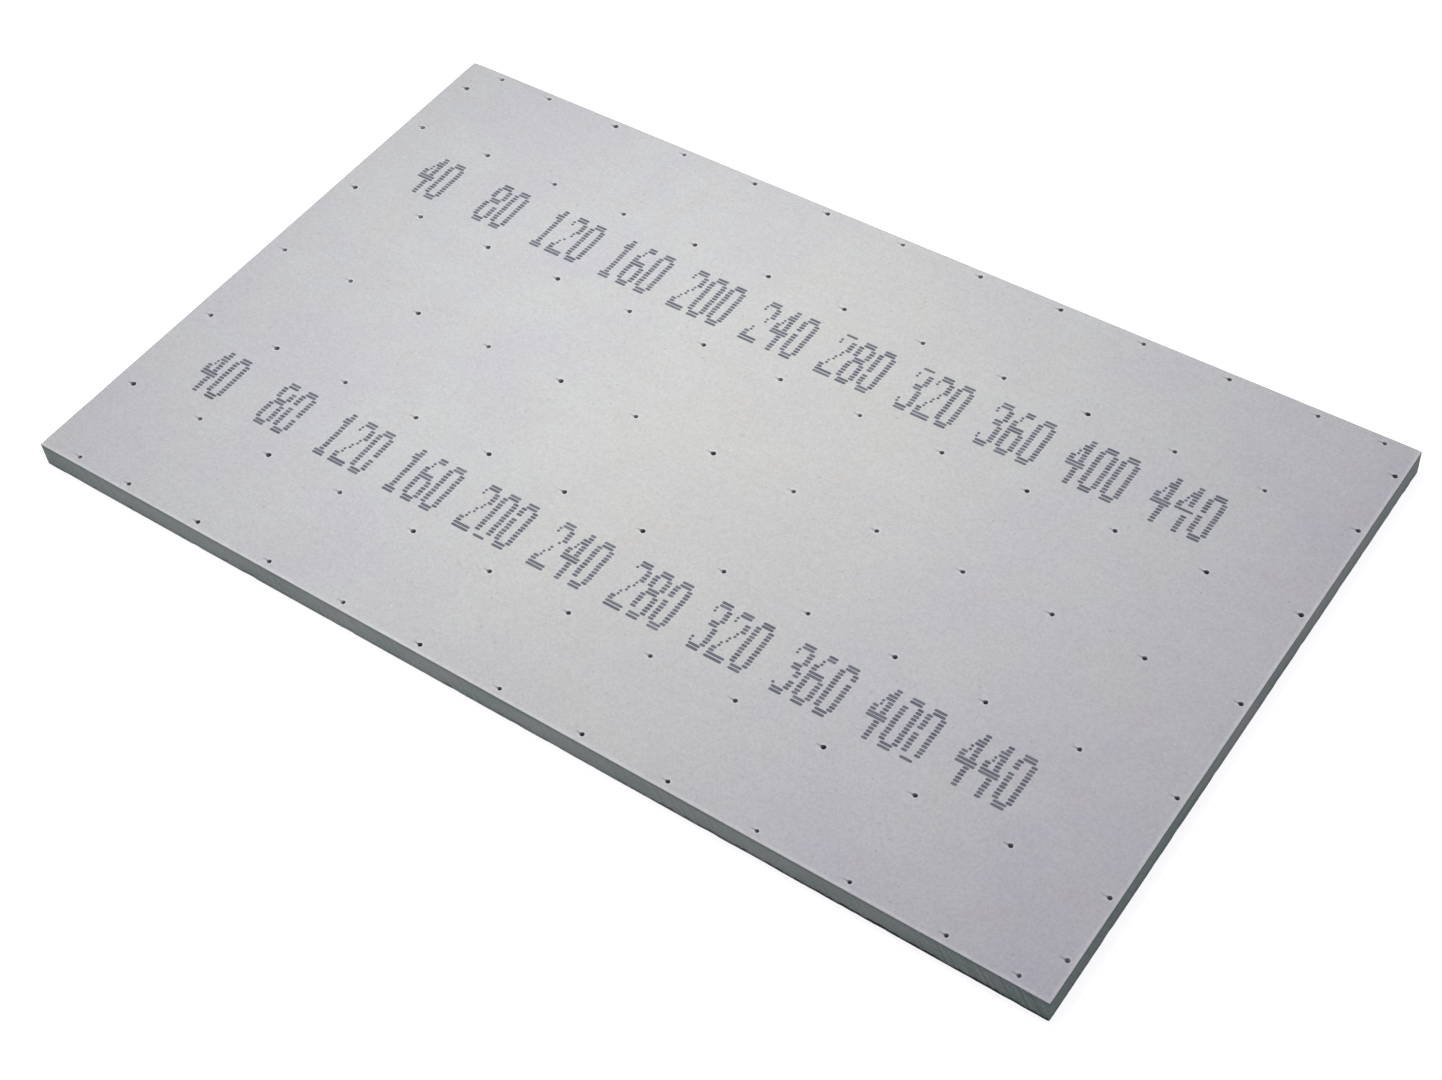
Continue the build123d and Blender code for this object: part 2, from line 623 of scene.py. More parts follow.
@dataclass(frozen=True, kw_only=True)
class HoleWall(MattFinish):
    """Fibre cement, punched by a blunt steel pin: walls darkened as painted shade in the holes, with pale
    dust in some holes.
    """

    # Painted shade: the walls are darker than the face because shade falls in the holes
    dark: str = "#7C7B81"
    dust: str = "#C6C6C8"
    grain_size: float = 0.5 * MM
    roughness: float = 0.8
    specular: float = 0.2
    relief_depth: float = 0.06 * MM

    def material(self) -> bpy.types.Material:
        """Makes the wall: dark as painted shade, with the share of dust that each hole carries as an
        attribute.

        Returns:
            The material.
        """
        material = new_material("fibre cement, punched hole")
        tree = material.node_tree
        place = add_node(tree, "ShaderNodeTexCoord").outputs["Object"]
        grain = add_node(tree, "ShaderNodeTexNoise", None,
                         {"Vector": place, "Scale": 1 / self.grain_size, "Detail": 2.0})
        clinging = add_node(tree, "ShaderNodeMapRange", None,
                            {"Value": grain.outputs[0], "From Min": 0.3, "From Max": 0.7, "To Min": 0.55})
        dust = add_node(tree, "ShaderNodeAttribute", {"attribute_name": DUST})
        share = add_node(tree, "ShaderNodeMath", {"operation": "MULTIPLY"},
                         {0: dust.outputs["Fac"], 1: clinging.outputs[0]})
        self.close(tree, self.dark, [Layer(share.outputs[0], linear(self.dust))], grain.outputs[0])
        return material


@dataclass(frozen=True, kw_only=True)
class FeltBack(MattFinish):
    """Fibre cement, formed on a felt: the back keeps the felt's fine weave, a little darker than the face."""

    pale: str = "#BFC1C1"
    dark: str = "#AEB2B0"
    cloud_size: float = 60 * MM
    thread_spacing: float = 2.2 * MM
    roughness: float = 0.88
    specular: float = 0.25
    relief_depth: float = 0.12 * MM

    def material(self) -> bpy.types.Material:
        """Makes the back: clouds of tint under the print of the felt's warp and weft.

        Returns:
            The material.
        """
        material = new_material("fibre cement, felt back")
        tree = material.node_tree
        place = add_node(tree, "ShaderNodeTexCoord").outputs["Object"]
        clouds = add_node(tree, "ShaderNodeTexNoise", None,
                          {"Vector": place, "Scale": 1 / self.cloud_size, "Detail": 5.0})
        warp, weft = (
            add_node(tree, "ShaderNodeTexWave", {"wave_type": "BANDS", "bands_direction": direction},
                     {"Vector": place, "Scale": WAVE_PERIOD / self.thread_spacing, "Distortion": 1.5,
                      "Detail": 2.0, "Detail Scale": 2.0}).outputs["Fac"]
            for direction in ("X", "Y")
        )
        weave = add_node(tree, "ShaderNodeMath", {"operation": "MULTIPLY"}, {0: warp, 1: weft})
        weave_light = add_node(tree, "ShaderNodeMapRange", None,
                               {"Value": weave.outputs[0], "To Min": 0.95, "To Max": 1.05})
        self.close(tree, self.pale, [
            Layer(clouds.outputs[0], linear(self.dark)),
            Layer(1.0, weave_light.outputs[0], Blend.LIGHT),
        ], weave.outputs[0])
        return material


@dataclass(frozen=True, kw_only=True)
class JetInk(MattFinish):
    """Blue-black marking ink, sprayed in drops: soaked into the cement, so it is matt and uneven."""

    full: str = "#666974"
    faded: str = "#8E919A"
    soak_size: float = 1.3 * MM
    roughness: float = 0.75
    specular: float = 0.25
    relief_depth: float = 0.03 * MM
    relief_strength: float = 0.3
    ior: float = 1.45

    def material(self) -> bpy.types.Material:
        """Makes the ink: each dash has its own strength as an attribute, and the cement drinks some of it.

        Returns:
            The material.
        """
        material = new_material("marking ink, sprayed")
        tree = material.node_tree
        place = add_node(tree, "ShaderNodeTexCoord").outputs["Object"]
        soak = add_node(tree, "ShaderNodeTexNoise", None,
                        {"Vector": place, "Scale": 1 / self.soak_size, "Detail": 3.0})
        tone = add_node(tree, "ShaderNodeAttribute", {"attribute_name": TONE})
        faded_share = add_node(tree, "ShaderNodeMath", {"operation": "MULTIPLY"},
                               {0: tone.outputs["Fac"], 1: soak.outputs[0]})
        self.close(tree, self.full, [Layer(faded_share.outputs[0], linear(self.faded))], soak.outputs[0])
        return material


@dataclass(frozen=True)
class PaperFloor:
    """White background paper: a matt floor that shows as white to the camera and keeps the board's shadow."""

    paper: str = "#E5E7E0"
    lift: float = 0.78

    def material(self) -> bpy.types.Material:
        """Makes the paper: plain diffuse for light that bounces, lifted towards white where it is seen.

        Returns:
            The material.
        """
        material = new_material("background paper, matt")
        tree = material.node_tree
        plain = add_node(tree, "ShaderNodeBsdfDiffuse", None, {"Color": linear(self.paper)})
        strength = add_node(tree, "ShaderNodeMath", {"operation": "MULTIPLY"},
                            {0: seen_share(tree), 1: self.lift})
        glow = add_node(tree, "ShaderNodeEmission", None,
                        {"Color": linear("#FFFFFF"), "Strength": strength.outputs[0]})
        both = add_node(tree, "ShaderNodeAddShader", None, {0: plain.outputs[0], 1: glow.outputs[0]})
        add_node(tree, "ShaderNodeOutputMaterial", None, {"Surface": both.outputs[0]})
        return material


@dataclass
class Surface:
    """Corners and faces that are gathered piece by piece and then welded into one mesh."""

    corners: list[Place] = field(default_factory=list)
    faces: list[list[int]] = field(default_factory=list)
    skins: list[Skin] = field(default_factory=list)
    marks: dict[str, list[float]] = field(default_factory=lambda: {mark: [] for mark in MARKS})
    sharp_angle: float = math.radians(40)

    def add(
        self,
        corners: list[Place],
        faces: list[list[int]],
        skins: list[Skin],
        marks: dict[str, list[float]] | None = None,
    ) -> None:
        """Appends a patch of the surface.

        Args:
            corners: The patch's points.
            faces: The patch's faces, as indices into its own points.
            skins: The finish of each face.
            marks: Values of the points for the materials, which are 0 where none are given.
        """
        first = len(self.corners)
        self.corners.extend(corners)
        self.faces.extend([first + index for index in face] for face in faces)
        self.skins.extend(skins)
        for mark in MARKS:
            self.marks[mark].extend(marks[mark] if marks else [0.0] * len(corners))

    def welded(self, name: str, weld: float) -> bpy.types.Mesh:
        """Joins the patches where their points meet.

        Args:
            name: The mesh's name.
            weld: The distance within which points are one.

        Returns:
            A smooth-shaded mesh whose material indices are the skins.
        """
        mesh = bpy.data.meshes.new(name)
        mesh.from_pydata(self.corners, [], self.faces)
        mesh.polygons.foreach_set("material_index", [skin.value for skin in self.skins])
        for mark, values in self.marks.items():
            store(mesh, mark, values)
        shape = bmesh.new()
        shape.from_mesh(mesh)
        bmesh.ops.remove_doubles(shape, verts=shape.verts, dist=weld)
        open_edges = sum(1 for edge in shape.edges if len(edge.link_faces) != 2)
        LOG.info("%s: %d faces, %d open edges", name, len(shape.faces), open_edges)
        shape.to_mesh(mesh)
        shape.free()
        mesh.shade_smooth()
        mesh.set_sharp_from_angle(angle=self.sharp_angle)
        return mesh


def geometry_tree(name: str, sockets: dict[str, str]) -> Tree:
    """Starts a Geometry Nodes tree.

    Args:
        name: The tree's name.
        sockets: The type of each named input that follows the geometry.

    Returns:
        A tree with its interface and no nodes.
    """
    tree = bpy.data.node_groups.new(name, "GeometryNodeTree")
    tree.interface.new_socket("Geometry", in_out="INPUT", socket_type="NodeSocketGeometry")
    for socket, kind in sockets.items():
        tree.interface.new_socket(socket, in_out="INPUT", socket_type=kind)
    tree.interface.new_socket("Geometry", in_out="OUTPUT", socket_type="NodeSocketGeometry")
    return tree


def grown(carrier: bpy.types.Object, tree: Tree, values: dict[str, Any]) -> bpy.types.Mesh:
    """Runs a Geometry Nodes tree on an object and keeps the result as a plain mesh.

    Args:
        carrier: The object whose points the tree works on.
        tree: The tree.
        values: A value for each of the tree's named inputs.

    Returns:
        The realised mesh.
    """
    modifier = carrier.modifiers.new(tree.name, "NODES")
    modifier.node_group = tree
    for item in tree.interface.items_tree:
        if item.in_out == "INPUT" and item.name in values:
            modifier[item.identifier] = values[item.name]
    evaluated = carrier.evaluated_get(bpy.context.evaluated_depsgraph_get())
    mesh = bpy.data.meshes.new_from_object(evaluated)
    carrier.modifiers.remove(modifier)
    return mesh


@dataclass(frozen=True)
class LinerRing:
    """A ring of points in a hole's lining: how far the wedge draws it out, its groove, freedom and shade."""

    radius: float
    height: float
    wedge: float = 0.0
    groove: float = 0.0
    freedom: float = 0.0
    shade: float = 0.0


@dataclass
class PilotHoles:
    """The blind holes that a pinned roller pressed into the face, each with a lip and a drag groove."""

    face_height: float
    centres: list[Vector]
    depth: float
    # The corner where dust has fallen into the holes, and the share of the depth that it can fill
    dusty_corner: Vector
    dust_reach: float = 120 * MM
    fill: float = 0.45
    # The most dust that falls into a hole by chance
    chance_dust: float = 0.7
    radius: float = 0.9 * MM
    mouth_radius: float = 1.02 * MM
    lip_radius: float = 1.5 * MM
    lip_height: float = 0.06 * MM
    groove_depth: float = 0.25 * MM
    groove_half_angle: float = math.radians(20)
    # The mouth is drawn out into a wedge where the pin was dragged
    wedge: float = 0.6 * MM
    # The opening that the panel leaves for a hole reaches further along the groove, towards the left end
    opening_length: float = 3.2 * MM
    opening_width: float = 2.2 * MM
    opening_shift: float = 1.0 * MM
    turn_count: int = 24
    # Extra turns on either side of the groove's middle, in degrees
    groove_turns: tuple[float, ...] = (-9, -4.5, 4.5, 9)
    # The bands of a lining that belong to the face, above its wall
    face_bands: int = 3
    roughness: float = 0.13 * MM
    lip_grain: float = 0.9 * MM
    # The share by which holes are narrower: at the left end and the right, along the near edge, and by chance
    left_narrowing: float = -0.12
    right_narrowing: float = 0.03
    near_narrowing: float = 0.13
    near_band: float = 8 * MM
    chance_narrowing: float = 0.08
    seed: int = 7
    # How deep inside the CAD panel a hole's floor lies at least, and how near one another its points are
    floor_margin: float = 2 * MM
    floor_reach: float = 3 * MM

    @classmethod
    def from_frame(cls, node: bpy.types.Object, low: Vector, high: Vector) -> PilotHoles:
        """Finds the holes in the CAD panel by the corners of their floors.

        Args:
            node: The CAD panel.
            low: The lowest corner of its box.
            high: The highest corner of its box.

        Returns:
            The holes at the places and depth that the CAD panel has.
        """
        floors: list[list[Vector]] = []
        for vertex in node.data.vertices:
            place = vertex.co
            if not all(a + cls.floor_margin < p < b - cls.floor_margin for a, p, b in zip(low, place, high)):
                continue
            for floor in floors:
                if (floor[0] - place).length < cls.floor_reach:
                    floor.append(place.copy())
                    break
            else:
                floors.append([place.copy()])
        centres = []
        for floor in floors:
            middle_x = (min(p.x for p in floor) + max(p.x for p in floor)) / 2
            middle_y = (min(p.y for p in floor) + max(p.y for p in floor)) / 2
            centres.append(Vector((middle_x, middle_y)))
        return cls(high.z, centres, high.z - floors[0][0].z, Vector((high.x, low.y)))

    def turns(self) -> list[float]:
        """Spreads points round a hole.

        Returns:
            Their angles in order, closer together where the groove runs out.
        """
        even = [math.tau * step / self.turn_count for step in range(self.turn_count)]
        groove = [math.pi + math.radians(extra) for extra in self.groove_turns]
        return sorted(even + groove)

    def opening(self, angle: float) -> Vector:
        """Gives the point of the opening's outline at an angle, from the hole's middle."""
        along = self.opening_length * math.cos(angle) - self.opening_shift
        return Vector((along, self.opening_width * math.sin(angle)))

    def openings(self) -> list[list[Vector]]:
        """Lists the outline of each opening in the face."""
        outline = [self.opening(angle) for angle in self.turns()]
        return [[centre + point for point in outline] for centre in self.centres]

    def is_open(self, point: Vector, margin: float = 0.0) -> bool:
        """Tells whether a point of the face lies in an opening.

        Args:
            point: The point in X and Y.
            margin: How much wider than it is an opening counts.

        Returns:
            True in an opening.
        """
        for centre in self.centres:
            along = (point.x - centre.x + self.opening_shift) / (self.opening_length + margin)
            across = (point.y - centre.y) / (self.opening_width + margin)
            if along * along + across * across < 1:
                return True
        return False

    def narrowing(self, centre: Vector) -> float:
        """Works out how much narrower a hole is for its place.

        Args:
            centre: The hole's middle in X and Y.

        Returns:
            The share of its width that it loses.
        """
        share = 0.5 + 0.5 * centre.x / self.dusty_corner.x
        narrowing = self.left_narrowing + share * (self.right_narrowing - self.left_narrowing)
        if centre.y < self.dusty_corner.y + self.near_band:
            narrowing += self.near_narrowing
        return narrowing

    def rings(self) -> list[LinerRing]:
        """Lists the lining's rings from the face inwards.

        Returns:
            The apron, the lip and the mouth, and then the rings of the wall down to the floor.
        """
        apron = (self.lip_radius + self.opening_width) / 2
        return [
            LinerRing(apron, 0.1 * self.lip_height, groove=0.5, freedom=0.3, shade=0.2),
            LinerRing(self.lip_radius, self.lip_height, self.wedge, groove=0.9, freedom=1.0, shade=0.8),
            LinerRing(self.mouth_radius, 0.0, self.wedge, groove=1.0, freedom=1.0, shade=0.4),
            LinerRing(self.radius, -0.12 * self.depth, 0.4 * self.wedge, freedom=1.0),
            LinerRing(0.98 * self.radius, -0.55 * self.depth, freedom=0.8),
            LinerRing(0.9 * self.radius, -0.92 * self.depth, freedom=0.4),
            LinerRing(0.45 * self.radius, -self.depth, freedom=0.2),
        ]

    def liner(self) -> bpy.types.Object:
        """Builds the lining of one hole, with its opening flush with a face at height 0.

        Returns:
            An object whose mesh carries its freedom to wander, the way inwards, its shade and its wall.
        """
        turns = self.turns()
        count = len(turns)
        corners = [(*self.opening(angle), 0.0) for angle in turns]
        freedom = [0.0] * count
        shade = [0.0] * count
        rings = self.rings()
        for ring in rings:
            for angle in turns:
                off_groove = abs(angle - math.pi) / self.groove_half_angle
                drawn = ring.groove * max(0.0, 1.0 - off_groove)
                reach = ring.radius + ring.wedge * max(0.0, 1.0 - off_groove / 2)
                if ring.radius > self.lip_radius:
                    reach = (self.opening(angle).length + self.lip_radius) / 2
                height = ring.height - self.groove_depth * drawn
                corners.append((reach * math.cos(angle), reach * math.sin(angle), height))
                freedom.append(ring.freedom)
                shade.append(ring.shade - (1.0 + ring.shade) * drawn)
        corners.append((0.0, 0.0, -self.depth))
        freedom.append(0.0)
        shade.append(0.0)
        faces = []
        for band in range(len(rings)):
            outer = band * count
            inner = outer + count
            for turn in range(count):
                after = (turn + 1) % count
                faces.append([outer + turn, outer + after, inner + after, inner + turn])
        last = len(rings) * count
        faces.extend([last + turn, last + (turn + 1) % count, len(corners) - 1] for turn in range(count))
        mesh = bpy.data.meshes.new("hole_liner")
        mesh.from_pydata(corners, [], faces)
        store(mesh, "freedom", freedom)
        store(mesh, SHADE, shade)
        inward = [part for (x, y, _), free in zip(corners, freedom) for part in (-free * x, -free * y, 0.0)]
        mesh.attributes.new("inward", "FLOAT_VECTOR", "POINT").data.foreach_set("vector", inward)
        wall = [index >= self.face_bands * count for index in range(len(faces))]
        mesh.attributes.new("wall", "BOOLEAN", "FACE").data.foreach_set("value", wall)
        return new_object("hole_liner", mesh)

    def tree(self) -> Tree:
        """Builds the tree that sets a lining in each hole, roughens its lip and narrows it.

        Returns:
            The tree, with named inputs for the lining, its finishes, the dust that falls in by chance, the
            depth that dust fills, the narrowing by chance, roughness, grain and the seed.
        """
        tree = geometry_tree("pilot_holes", {
            "Liner": "NodeSocketObject", "Face": "NodeSocketMaterial", "Wall": "NodeSocketMaterial",
            "Dust": "NodeSocketFloat", "Fill": "NodeSocketFloat", "Narrowing": "NodeSocketFloat",
            "Roughness": "NodeSocketFloat", "Grain": "NodeSocketFloat", "Seed": "NodeSocketInt"})
        given = add_node(tree, "NodeGroupInput").outputs
        stored = {
            name: add_node(tree, "GeometryNodeInputNamedAttribute", {"data_type": kind},
                           {"Name": name}).outputs[0]
            for name, kind in (("dusty", "FLOAT"), (DUST, "FLOAT"), ("narrowed", "FLOAT"),
                               ("freedom", "FLOAT"), ("inward", "FLOAT_VECTOR"), ("wall", "BOOLEAN"))
        }
        chance = add_node(tree, "FunctionNodeRandomValue", {"data_type": "FLOAT"},
                          {2: 0.0, 3: given["Dust"], "Seed": given["Seed"]})
        most = add_node(tree, "ShaderNodeMath", {"operation": "MAXIMUM"},
                        {0: chance.outputs[1], 1: stored["dusty"]})
        dusted = add_node(tree, "GeometryNodeStoreNamedAttribute", {"data_type": "FLOAT", "domain": "POINT"},
                          {"Geometry": given["Geometry"], "Name": DUST, "Value": most.outputs[0]})
        widest = add_node(tree, "ShaderNodeMath", {"operation": "MULTIPLY"}, {0: given["Narrowing"], 1: -1.0})
        by_chance = add_node(tree, "ShaderNodeMapRange", None,
                             {"Value": chance.outputs[1], "From Max": given["Dust"],
                              "To Min": widest.outputs[0], "To Max": given["Narrowing"]})
        narrowed = add_node(tree, "ShaderNodeMath", {"operation": "ADD"},
                            {0: by_chance.outputs[0], 1: stored["narrowed"]})
        sized = add_node(tree, "GeometryNodeStoreNamedAttribute", {"data_type": "FLOAT", "domain": "POINT"},
                         {"Geometry": dusted.outputs[0], "Name": "narrowed", "Value": narrowed.outputs[0]})
        filled = add_node(tree, "ShaderNodeMath", {"operation": "MULTIPLY"},
                          {0: stored[DUST], 1: given["Fill"]})
        left_open = add_node(tree, "ShaderNodeMath", {"operation": "SUBTRACT"},
                             {0: 1.0, 1: filled.outputs[0]})
        size = add_node(tree, "ShaderNodeCombineXYZ", None, {"X": 1.0, "Y": 1.0, "Z": left_open.outputs[0]})
        liner = add_node(tree, "GeometryNodeObjectInfo", None, {"Object": given["Liner"]})
        placed = add_node(tree, "GeometryNodeInstanceOnPoints", None,
                          {"Points": sized.outputs[0], "Instance": liner.outputs["Geometry"],
                           "Scale": size.outputs[0]})
        whole = add_node(tree, "GeometryNodeRealizeInstances", None, {0: placed.outputs[0]})
        wander = add_node(tree, "ShaderNodeTexNoise", None, {"Scale": given["Grain"], "Detail": 2.0})
        centred = add_node(tree, "ShaderNodeVectorMath", {"operation": "SUBTRACT"},
                           {0: wander.outputs["Color"], 1: (0.5, 0.5, 0.5)})
        amount = add_node(tree, "ShaderNodeMath", {"operation": "MULTIPLY"},
                          {0: stored["freedom"], 1: given["Roughness"]})
        moves = ((centred.outputs[0], amount.outputs[0]), (stored["inward"], stored["narrowed"]))
        shaped = whole.outputs[0]
        for way, distance in moves:
            offset = add_node(tree, "ShaderNodeVectorMath", {"operation": "SCALE"},
                              {0: way, "Scale": distance})
            moved = add_node(tree, "GeometryNodeSetPosition", None,
                             {"Geometry": shaped, "Offset": offset.outputs[0]})
            shaped = moved.outputs[0]
        faced = add_node(tree, "GeometryNodeSetMaterial", None,
                         {"Geometry": shaped, "Material": given["Face"]})
        walled = add_node(tree, "GeometryNodeSetMaterial", None,
                          {"Geometry": faced.outputs[0], "Selection": stored["wall"],
                           "Material": given["Wall"]})
        add_node(tree, "NodeGroupOutput", None, {0: walled.outputs[0]})
        return tree

    def mesh(self, face: bpy.types.Material, wall: bpy.types.Material) -> bpy.types.Mesh:
        """Grows the linings of all holes.

        Args:
            face: The finish of the lips.
            wall: The finish below the mouths.

        Returns:
            One mesh of all linings, in place.
        """
        points = bpy.data.meshes.new("hole_places")
        points.from_pydata([(*centre, self.face_height) for centre in self.centres], [], [])
        nearness = [1.0 - (centre - self.dusty_corner).length / self.dust_reach for centre in self.centres]
        store(points, "dusty", nearness)
        store(points, "narrowed", [self.narrowing(centre) for centre in self.centres])
        carrier = new_object("hole_places", points)
        liner = self.liner()
        mesh = grown(carrier, self.tree(), {
            "Liner": liner, "Face": face, "Wall": wall, "Dust": self.chance_dust, "Fill": self.fill,
            "Narrowing": self.chance_narrowing, "Roughness": 2 * self.roughness, "Grain": 1 / self.lip_grain,
            "Seed": self.seed})
        bpy.data.objects.remove(carrier)
        bpy.data.objects.remove(liner)
        return mesh


@dataclass(frozen=True)
class ProfilePoint:
    """A point of the edge's section: how far in and how high it is, and how much wear moves it."""

    inset: float
    height: float
    arris: float = 0.0
    foot: float = 0.0
    side: float = 0.0


@dataclass
class Panel:
    """The sawn panel: a band of worn edge all round it, its face with the holes, and its back."""

    low: Vector
    high: Vector
    holes: PilotHoles
    corner_radius: float = 0.6 * MM
    arris_radius: float = 0.4 * MM
    foot_chamfer: float = 0.25 * MM
    rim: float = 0.9 * MM
    step: float = 1.0 * MM
    arris_steps: int = 4
    side_steps: int = 8
    corner_steps: int = 5
    face_spacing: float = 9.0 * MM
    arris_wear: float = 0.1 * MM
    foot_wear: float = 0.2 * MM
    side_wear: float = 0.08 * MM
    corner_wear: float = 0.08 * MM
    # The corner that was knocked: at the left end, on the far side
    knocked_corner: tuple[float, float] = (-1.0, 1.0)
    knocked_wear: float = 0.5 * MM
    corner_reach: float = 2.0 * MM
    # Sizes of the lumps that wear follows: scuffs of the arris, chips of the foot, and drift of the saw
    scuff_size: float = 9 * MM
    scuff_grain: float = 2.1 * MM
    chip_size: float = 6 * MM
    chip_grain: float = 1.7 * MM
    drift_size: float = 30 * MM
    drift_grain: float = 2.3 * MM
    chip_layer: float = 40.0
    chip_grain_layer: float = 80.0
    # Scuffs and chips begin where the lumps rise past a floor, and finer grain adds a share to them
    scuff_floor: float = 0.1
    scuff_grain_share: float = 0.35
    chip_floor: float = 0.12
    chip_share: float = 1.6
    chip_grain_share: float = 0.3
    # The saw wandered about the middle of its wear
    drift_middle: float = 0.5
    drift_share: float = 0.35
    drift_grain_share: float = 0.3
    # How far the points inside the face and the back keep off the right edge and off the openings
    edge_margin: float = 3 * MM
    opening_margin: float = 0.6 * MM
    weld: float = 0.002 * MM

    def outline(self) -> list[tuple[Vector, Vector]]:
        """Walks round the panel, anticlockwise from above.

        Returns:
            Points of the outline, each with the direction out of the panel.
        """
        radius = self.corner_radius
        walked: list[tuple[Vector, Vector]] = []
        corners = [(self.high.x, self.low.y), (self.high.x, self.high.y),
                   (self.low.x, self.high.y), (self.low.x, self.low.y)]
        arcs = []
        for quarter, (x, y) in enumerate(corners):
            middle = Vector((x - math.copysign(radius, x), y - math.copysign(radius, y)))
            start = (quarter - 1) * math.pi / 2
            turns = [start + math.pi / 2 * step / self.corner_steps for step in range(self.corner_steps + 1)]
            outward = [Vector((math.cos(turn), math.sin(turn))) for turn in turns]
            arcs.append([(middle + radius * way, way) for way in outward])
        for quarter, arc in enumerate(arcs):
            walked.extend(arc)
            here, way = arc[-1]
            there = arcs[(quarter + 1) % 4][0][0]
            pieces = round((there - here).length / self.step)
            walked.extend((here.lerp(there, piece / pieces), way) for piece in range(1, pieces))
        return walked

    def profile(self) -> list[ProfilePoint]:
        """Draws the section of the edge.

        Returns:
            Its points from the face, over the arris and down the side, to the back.
        """
        top = self.high.z
        points = [ProfilePoint(self.rim, top)]
        for step in range(self.arris_steps + 1):
            turn = math.pi / 2 * step / self.arris_steps
            inset = self.arris_radius * (1 - math.sin(turn))
            height = top - self.arris_radius * (1 - math.cos(turn))
            worn = 0.35 + 0.65 * math.sin(2 * turn)
            points.append(ProfilePoint(inset, height, arris=worn, side=math.sin(turn)))
        side_top = top - self.arris_radius
        side_foot = self.low.z + self.foot_chamfer
        for step in range(1, self.side_steps):
            share = step / self.side_steps
            height = side_top + (side_foot - side_top) * share
            # The lowest quarter of the side chips with the foot
            points.append(ProfilePoint(0.0, height, foot=max(0.0, 4 * share - 3), side=1.0))
        points.append(ProfilePoint(0.0, side_foot, foot=0.8, side=1.0))
        points.append(ProfilePoint(self.foot_chamfer, self.low.z, foot=0.6))
        points.append(ProfilePoint(self.rim, self.low.z))
        return points

    def wear(self, point: Vector) -> tuple[float, float]:
        """Works out how much of the edge is worn off at a point of the outline.

        Args:
            point: The point in X and Y.

        Returns:
            The loss at the face's arris and the loss at the foot.
        """
        place = Vector((point.x, point.y, 0.0))
        scuffs = max(0.0, lumps(place, self.scuff_size) - self.scuff_floor)
        scuffs += self.scuff_grain_share * abs(lumps(place, self.scuff_grain))
        chips = self.chip_share * max(0.0, lumps(place, self.chip_size, self.chip_layer) - self.chip_floor)
        chips += self.chip_grain_share * abs(lumps(place, self.chip_grain, self.chip_grain_layer))
        to_corner = Vector((abs(abs(point.x) - self.high.x), abs(abs(point.y) - self.high.y))).length
        knocked = point.x * self.knocked_corner[0] > 0 and point.y * self.knocked_corner[1] > 0
        knock = self.knocked_wear if knocked else self.corner_wear
        knock *= math.exp(-to_corner / self.corner_reach)
        return (self.arris_wear * scuffs + knock, self.foot_wear * min(1.0, chips) + knock)

    def edge_band(self, surface: Surface) -> list[Vector]:
        """Adds the band of edge that runs all round the panel.

        Args:
            surface: The surface that gets the band.

        Returns:
            The band's inner outline in X and Y, which the face and the back fill.
        """
        profile = self.profile()
        outline = self.outline()
        corners = []
        for point, way in outline:
            arris_loss, foot_loss = self.wear(point)
            for spot in profile:
                place = Vector((point.x, point.y, spot.height))
                wander = self.drift_middle + self.drift_share * lumps(place, self.drift_size)
                wander += self.drift_grain_share * lumps(place, self.drift_grain)
                inset = spot.inset + spot.arris * arris_loss + spot.foot * foot_loss
                inset += spot.side * self.side_wear * max(0.0, wander)
                inset = min(inset, self.rim) if spot.side == 0 else inset
                flat = self.inset_point(point, way, inset)
                rise = spot.foot * foot_loss if spot.inset == 0 else 0.0
                corners.append((flat.x, flat.y, spot.height - spot.arris * arris_loss + rise))
        rows = len(profile)
        faces = []
        skins = []
        for column in range(len(outline)):
            here = column * rows
            after = (column + 1) % len(outline) * rows
            for row in range(rows - 1):
                faces.append([here + row, here + row + 1, after + row + 1, after + row])
                skins.append(self.band_skin(row, rows))
        surface.add(corners, faces, skins)
        inner = [self.inset_point(point, way, self.rim) for point, way in outline]
        return [point for index, point in enumerate(inner) if (point - inner[index - 1]).length > self.weld]

    def inset_point(self, point: Vector, way: Vector, inset: float) -> Vector:
        """Moves a point of the outline into the panel, at a corner no further than where two sides meet.

        Args:
            point: The point in X and Y.
            way: The direction out of the panel.
            inset: The distance to move.

        Returns:
            The moved point.
        """
        flat = point - way * inset
        flat.x = min(max(flat.x, self.low.x + inset), self.high.x - inset)
        flat.y = min(max(flat.y, self.low.y + inset), self.high.y - inset)
        return flat

    def band_skin(self, row: int, rows: int) -> Skin:
        """Picks the finish of a row of the band.

        Args:
            row: The row, counted from the face.
            rows: The number of points in the band's section.

        Returns:
            The row's skin.
        """
        if row == 0:
            return Skin.FACE
        if row <= self.arris_steps // 2:
            return Skin.ARRIS
        return Skin.BACK if row == rows - 2 else Skin.EDGE

